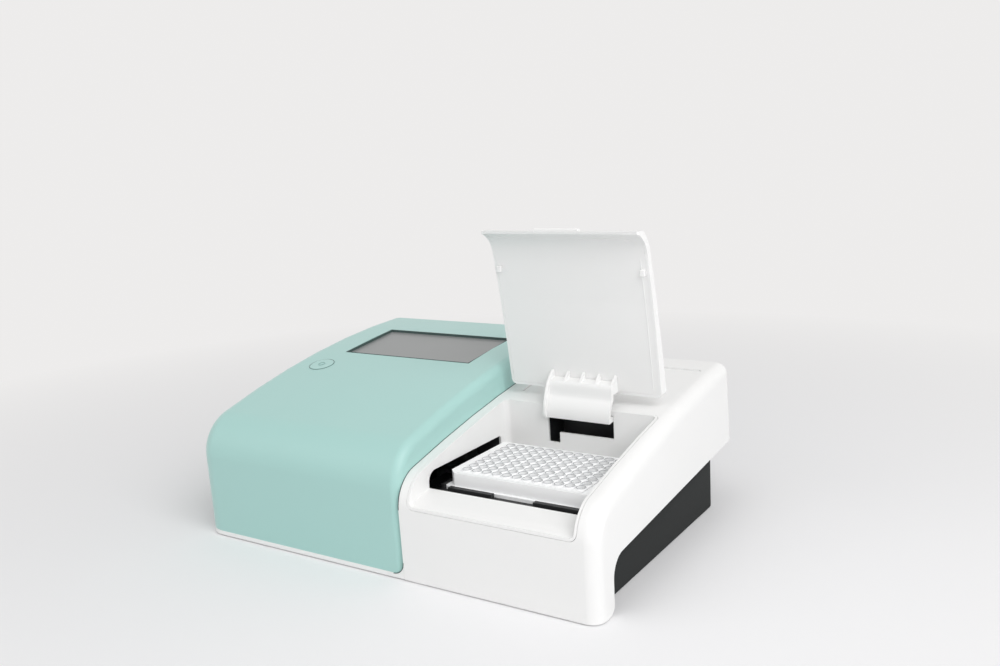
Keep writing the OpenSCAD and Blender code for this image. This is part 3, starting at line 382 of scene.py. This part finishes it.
# green display housing with the rounded lower corner that the white housing wraps
toe = {"radius": 10.0, "front": 0.9, "depth": 2.4, "gap": 0.45, "steps": 10, "lap": 0.4, "below": 1.5,
       "beyond": 6.0, "cutFrom": -3.0, "cutPast": 1.0, "edge": 0.0003, "housingEdge": 0.0006}


def toeOutline(grow):
    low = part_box("base_trim")[1][2] * 1000 - toe["lap"]
    radius, end = toe["radius"] - grow, -toe["radius"] - toe["beyond"]
    points = [(grow, low - toe["below"]), (end, low - toe["below"]), (end, low + grow)]
    for step in range(toe["steps"] + 1):
        turn = math.radians(-90 + 90 * step / toe["steps"])
        points.append((-toe["radius"] + radius * math.cos(turn),
                       low + toe["radius"] + radius * math.sin(turn)))
    return points + [(grow, low + toe["radius"])]


def makeDisplayHousing():
    skin = mergedCopy("display_housing", "display_housing_skin")
    softEdges(skin, toe["housingEdge"])
    back = toe["front"] + toe["depth"]
    cutter = prism("toe_cutter", toeOutline(-toe["gap"]), toe["cutFrom"], back + toe["cutPast"], True)
    useModifier(skin, "BOOLEAN", operation="DIFFERENCE", object=cutter, solver="EXACT")
    bpy.data.objects.remove(cutter)
    done(skin, bodyOf["display_housing"], "green_shell", replaced="display_housing")
    filler = prism("corner_toe", toeOutline(0.0), toe["front"], back, True)
    softEdges(filler, toe["edge"])
    done(filler, bodyOf["plate_housing"], "white_shell")


# dark line painted as the shadow in the gap of the seam, running along the seam and round the corner
seamShadow = {"radius": 0.00036, "inset": 0.15, "rear": 262.0, "legRear": 20.0, "legHeight": 0.6}


def outlines(shape):  # the shape's vertices in connected groups
    groups, left = [], set(shape.verts)
    while left:
        group, front = set(), [left.pop()]
        while front:
            vertex = front.pop()
            group.add(vertex)
            for edge in vertex.link_edges:
                other = edge.other_vert(vertex)
                if other in left:
                    left.discard(other)
                    front.append(other)
        groups.append(group)
    return groups


def makeSeamLine():
    line = mergedCopy("plate_housing", "seam_line")
    shape = readMesh(line)
    bmesh.ops.bisect_plane(shape, geom=everything(shape), plane_co=place(seamShadow["inset"], 0, 0),
                           plane_no=(1, 0, 0), clear_inner=True, clear_outer=True)
    bmesh.ops.delete(shape, geom=shape.faces[:], context="FACES_ONLY")
    outer = max(outlines(shape), key=lambda group: max(v.co.z for v in group) - min(v.co.y for v in group))
    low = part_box("base_trim")[1][2] + (toe["radius"] - toe["lap"]) / 1000
    top = max(v.co.z for v in outer)
    rear, legRear = place(0, seamShadow["rear"], 0).y, place(0, seamShadow["legRear"], 0).y
    drop = [v for v in shape.verts if v not in outer or v.co.z < low or v.co.y > rear
            or (v.co.y > legRear and v.co.z < top * seamShadow["legHeight"])]
    bmesh.ops.delete(shape, geom=drop, context="VERTS")
    turns = [math.radians(-90 * step / toe["steps"]) for step in range(toe["steps"] + 1)]
    addChain(shape, min(shape.verts, key=lambda v: v.co.z),
             [place(-toe["radius"] + (toe["radius"] + seamShadow["inset"]) * math.cos(turn), toe["front"],
                    low * 1000 + toe["radius"] * math.sin(turn)) for turn in turns])
    print("seam line", len(shape.verts), len(shape.edges))
    writeMesh(shape, line.data)
    # the tube takes the dark finish that paints the seam's shadow
    done(tube(line, seamShadow["radius"]), bodyOf["plate_housing"], "black_plastic", finishes["jointShadow"], 60)


# lid liner with its two catches and the bead inside its edge
liner = {"kink": 0.2305, "above": 0.016, "below": 0.034, "rows": 20, "edge": 0.0004, "nearEnd": 0.0005,
         "reach": 0.6, "samples": 4, "rayFrom": -0.2}
nub = {"middle": 79.5, "side": 61.0, "height": 221.0, "reach": 0.0036, "slack": 0.0004}
catch = {"inward": 2.6, "size": (3.4, 3.6, 5.0), "proud": 0.0010, "rim": 0.0005, "crown": 0.0006,
         "facing": -0.5, "edge": 0.0004}
bead = {"radius": 0.00034, "inset": 0.0042, "top": 0.0036, "corner": 0.011, "foot": 0.004,
        "topSteps": 8, "cornerSteps": 8, "sideSteps": 60}


def makeLidLiner():
    skin = mergedCopy("lid_liner", "lid_liner_skin")
    low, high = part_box("lid_liner")
    level = place(0, 0, nub["height"]).z
    shape = readMesh(skin)
    for row in range(liner["rows"] + 1):
        height = liner["kink"] - liner["below"] + (liner["above"] + liner["below"]) * row / liner["rows"]
        bmesh.ops.bisect_plane(shape, geom=everything(shape), plane_co=(0, 0, height), plane_no=(0, 0, 1))
    skinTree = BVHTree.FromBMesh(shape)
    middle = (low[0] + high[0]) / 2

    def faceY(z):  # where the liner's visible face stands at a height
        inside = min(max(z, low[2] + liner["nearEnd"]), high[2] - liner["nearEnd"])
        return skinTree.ray_cast(Vector((middle, liner["rayFrom"], inside)), Vector((0, 1, 0)))[0].y

    def shift(z):  # what eases the bend between the curved front and the flat panel
        near = max(0.0, 1.0 - abs(z - liner["kink"]) / liner["above"])
        stride = liner["above"] * liner["reach"] / liner["samples"]
        spread = [faceY(z + stride * step) for step in range(-liner["samples"], liner["samples"] + 1)]
        return (sum(spread) / len(spread) - faceY(z)) * near * near * (3 - 2 * near)

    spots = [place(nub["middle"] + side * nub["side"], 0, 0).x for side in (-1, 1)]
    balls = [v for v in shape.verts if abs(v.co.z - level) < nub["reach"]
             and min(abs(v.co.x - x) for x in spots) < nub["reach"]
             and v.co.y < faceY(v.co.z) + nub["slack"]]
    for vertex in balls:  # the round nubs are pressed flat, and the catches stand near their place
        vertex.co.y = faceY(vertex.co.z)
    for vertex in shape.verts:
        vertex.co.y += shift(vertex.co.z)
    print("liner", len(shape.verts), "nub vertices", len(balls), "face", round(faceY(level), 4))
    writeMesh(shape, skin.data)
    softEdges(skin, liner["edge"])
    done(skin, bodyOf["lid_liner"], "white_shell", replaced="lid_liner")
    makeCatches(low[0], high[0], level, faceY(level))
    makeLinerBead(low, high, faceY)


def makeCatches(left, right, level, face):
    catches = []
    inward = catch["inward"] / 1000
    for x in (left + inward, right - inward):
        bpy.ops.mesh.primitive_cube_add(size=1.0, location=(x, face - catch["proud"], level))
        block = bpy.context.object
        block.scale = [length / 1000 for length in catch["size"]]
        bpy.ops.object.transform_apply(location=True, rotation=True, scale=True)
        for polygon in block.data.polygons:
            polygon.select = polygon.normal.y < catch["facing"]
        bpy.ops.object.mode_set(mode="EDIT")
        bpy.ops.mesh.select_mode(type="FACE")
        bpy.ops.mesh.inset(thickness=catch["rim"])
        bpy.ops.transform.translate(value=(0, -catch["crown"], 0))
        bpy.ops.mesh.select_mode(type="VERT")
        bpy.ops.object.mode_set(mode="OBJECT")
        softEdges(block, catch["edge"], 3, 25)
        catches.append(block)
    done(joinAll("lid_catches", catches), bodyOf["lid_liner"], "white_shell")


def makeLinerBead(low, high, faceY):
    corner, top = bead["corner"], high[2] - bead["top"]
    right, left = high[0] - bead["inset"], low[0] + bead["inset"]
    length, drop = right - corner - left, top - corner - low[2] - bead["foot"]
    turns = [math.radians(90 * step / bead["cornerSteps"]) for step in range(1, bead["cornerSteps"] + 1)]
    path = [(left + length * step / bead["topSteps"], top) for step in range(bead["topSteps"] + 1)]
    path += [(right - corner + corner * math.sin(turn), top - corner + corner * math.cos(turn))
             for turn in turns]
    path += [(right, top - corner - drop * step / bead["sideSteps"])
             for step in range(1, bead["sideSteps"] + 1)]
    shape = bmesh.new()
    addChain(shape, None, [(x, faceY(z), z) for x, z in path])
    mesh = bpy.data.meshes.new("liner_bead")
    writeMesh(shape, mesh)
    done(tube(link("liner_bead", mesh), bead["radius"]), bodyOf["lid_liner"], "white_shell", angle=60)


# curved cover over the gooseneck arm, with a crescent flange at its left end
cover = {"hinge": (155.0, 103.0), "flange": 2.2, "inset": 0.05, "edge": 0.0003, "flangeEdge": 0.0006,
         "radius": 22.2, "from": 190, "to": 142, "steps": 12,
         "outer": [(-16.95, 15.2), (-16.75, 17.5), (-16.7, 20.0), (-16.6, 22.5), (-16.3, 24.6),
                   (-15.3, 26.2)],
         "inner": [(-14.0, 25.0), (-13.6, 18.0), (-16.5, 11.5), (-19.4, 6.5), (-20.2, 0.0), (-19.9, -3.6)],
         "crescent": [(-23.2, -4.0), (-24.4, -2.0), (-24.9, 1.0), (-24.8, 5.0), (-24.0, 10.0), (-22.4, 15.0),
                      (-20.2, 20.0), (-17.4, 25.0), (-13.8, 29.2), (-9.0, 33.0), (-7.0, 33.4), (-10.5, 28.0),
                      (-14.0, 24.0), (-18.0, 15.0), (-20.6, 5.0), (-21.0, -3.6)]}


def makeArmCover():
    hingeY, hingeZ = cover["hinge"]
    x0, x1 = [corner[0] * 1000 - seam["x"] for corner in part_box("hinge_arm")]

    def moved(points):
        return [(y + hingeY, z + hingeZ) for y, z in points]

    sweep = (cover["to"] - cover["from"]) / cover["steps"]
    turns = [math.radians(cover["from"] + sweep * step) for step in range(cover["steps"] + 1)]
    arc = [(cover["radius"] * math.cos(turn), cover["radius"] * math.sin(turn)) for turn in turns]
    shell = prism("arm_cover", moved(arc + cover["outer"] + cover["inner"]), x0 + cover["inset"],
                  x1 - cover["inset"])
    softEdges(shell, cover["edge"], 2, 50)
    flange = prism("arm_flange", moved(cover["crescent"]), x0, x0 + cover["flange"])
    softEdges(flange, cover["flangeEdge"], 3, 50)
    done(joinAll("arm_cover", [shell, flange]), bodyOf["hinge_arm"], "white_shell", angle=40)


# raised rims of the wells, painted grey as the shade along each well's edge
wells = {"columns": 12, "rows": 8, "pitch": 0.009, "radius": 0.0036, "bead": 0.00017, "around": 20,
         "sides": 5}


def makeWellRims():
    low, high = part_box("microplate_frame")
    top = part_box("well_strips")[1][2]
    pitch = wells["pitch"]
    corner = ((low[0] + high[0] - (wells["columns"] - 1) * pitch) / 2,
              (low[1] + high[1] - (wells["rows"] - 1) * pitch) / 2, top)
    rims = torus("well_rims", wells["radius"], wells["bead"], wells["around"], wells["sides"], corner)
    for count, offset in ((wells["columns"], (pitch, 0, 0)), (wells["rows"], (0, pitch, 0))):
        useModifier(rims, "ARRAY", count=count, use_relative_offset=False, use_constant_offset=True,
                    constant_offset_displace=offset)
    # the rims take the grey that paints the shade at the wells' edges
    done(rims, bodyOf["well_strips"], "clear_plate", finishes["wellRimShade"], 80)


# dark frame that lines the screen's recess, painted as the shade on the recess walls
frameStrip = {"width": 0.0007, "depth": 0.0023, "upright": 0.5}


def makeScreenFrame():
    strip = mergedCopy("touch_panel", "screen_frame")
    shape = readMesh(strip)
    up = [face for face in shape.faces if face.normal.z > frameStrip["upright"]]
    top = max(up, key=lambda face: face.calc_area())
    bmesh.ops.delete(shape, geom=[face for face in shape.faces if face is not top], context="FACES")
    writeMesh(shape, strip.data)
    editAll(strip)
    bpy.ops.mesh.inset(thickness=frameStrip["width"])
    bpy.ops.mesh.delete(type="FACE")
    bpy.ops.mesh.select_all(action="SELECT")
    bpy.ops.mesh.extrude_region_shrink_fatten(TRANSFORM_OT_shrink_fatten={"value": frameStrip["depth"]})
    faceOut()
    # the strip takes the dark finish that paints the recess's shade
    done(strip, bodyOf["touch_panel"], "black_plastic", finishes["jointShadow"])


# fine dark ring round the power button, painted as the shadow in the gap round it, and its plain on mark
button = {"ringRadius": 0.01165, "ringBead": 0.00017, "ringDrop": 0.0005, "ringAround": 64,
          "markRadius": 0.0030, "markBead": 0.00018, "markAround": 40, "sides": 6,
          "upright": 0.8, "stemEnd": 0.0002}


def makeButtonRing():
    cap = nodes["power_button"].data
    up = [face for face in cap.polygons if face.normal.z > button["upright"]]
    tilt = sum((face.normal * face.area for face in up), Vector()).normalized()
    heights = [v.co.dot(tilt) for v in cap.vertices]
    lowest, highest = min(heights), max(heights)
    stem = [v.co for v, height in zip(cap.vertices, heights) if height < lowest + button["stemEnd"]]
    middle = sum(stem, Vector()) / len(stem) + tilt * (highest - lowest)
    turn = tilt.to_track_quat("Z", "Y").to_euler()
    line = torus("button_ring", button["ringRadius"], button["ringBead"], button["ringAround"],
                 button["sides"], middle - tilt * button["ringDrop"], turn)
    # the ring takes the dark finish that paints the gap's shadow
    done(line, bodyOf["display_housing"], "black_plastic", finishes["jointShadow"], 80)
    mark = torus("button_mark", button["markRadius"], button["markBead"], button["markAround"],
                 button["sides"], middle, turn)
    done(mark, bodyOf["power_button"], "button_plastic", finishes["markGreen"], 80)


makePlateHousing()
makeDisplayHousing()
makeSeamLine()
makeLidLiner()
makeArmCover()
makeWellRims()
makeScreenFrame()
makeButtonRing()
print("pieces made")

# floor, light and camera
studio = {"floorSize": 30.0, "floorColor": (0.845, 0.845, 0.855), "airColor": (0.850, 0.840, 0.835),
          "fadeFrom": 0.34, "fadeTo": 1.0, "worldColor": (1.0, 0.995, 0.99), "worldLight": 0.62,
          "lampSize": 1.5, "aim": (0, 0, 0.1)}
lamps = {"softKey": {"spot": (1.45, -0.80, 1.35), "power": 25.0},
         "softFill": {"spot": (-1.3, -1.7, 1.2), "power": 5.0}}
eye = {"location": (0.48171, -0.67778, 0.32555), "rotation": (1.375636, 0.054556, 0.571928),
       "lens": 35.437, "sensor": 36.0, "nearest": 0.01}


def makeFloor():  # paper that fades into the backdrop's tone with distance
    bpy.ops.mesh.primitive_plane_add(size=studio["floorSize"], location=(0.0, 0.0, 0.0))
    floor = bpy.context.object
    floor.name = "floor"
    paper = Finish("floorPaper", 0.8, Specular_IOR_Level=0.1)
    paper.set("Base Color", (*studio["floorColor"], 1))
    out = paper.add("ShaderNodeVectorMath", out="Value", settings={"operation": "LENGTH"}, i0=paper.here)
    far = paper.add("ShaderNodeMapRange", Value=out, From_Min=studio["fadeFrom"], From_Max=studio["fadeTo"])
    glow = paper.add("ShaderNodeEmission", Color=(*studio["airColor"], 1))
    paper.surface("Material Output", far * paper.seenRays(), Flow(paper.tree, paper.shader.outputs[0]), glow)
    floor.data.materials.append(paper.material)


def makeLamps():
    for name, facts in lamps.items():
        lamp = bpy.data.lights.new(name, "AREA")
        lamp.energy = facts["power"]
        lamp.size = studio["lampSize"]
        holder = link(name, lamp)
        holder.location = facts["spot"]
        toward = Vector(studio["aim"]) - Vector(facts["spot"])
        holder.rotation_euler = toward.to_track_quat("-Z", "Y").to_euler()


def makeWorld():
    world = bpy.data.worlds.new("studioAir")
    bpy.context.scene.world = world
    world.use_nodes = True
    air = Shading(world.node_tree)
    light = air.tree.nodes["Background"]
    light.inputs["Color"].default_value = (*studio["worldColor"], 1)
    light.inputs["Strength"].default_value = studio["worldLight"]
    backdrop = air.add("ShaderNodeBackground", Color=(*studio["airColor"], 1))
    air.surface("World Output", air.seenRays(), Flow(air.tree, light.outputs[0]), backdrop)


def makeCamera():
    camera = bpy.data.cameras.new("eye")
    camera.sensor_width = eye["sensor"]
    camera.lens = eye["lens"]
    camera.clip_start = eye["nearest"]
    holder = link("eye", camera)
    holder.location = eye["location"]
    holder.rotation_euler = eye["rotation"]
    bpy.context.scene.camera = holder


makeFloor()
makeLamps()
makeWorld()
makeCamera()
bpy.context.scene.view_settings.view_transform = "Standard"
print("studio made")
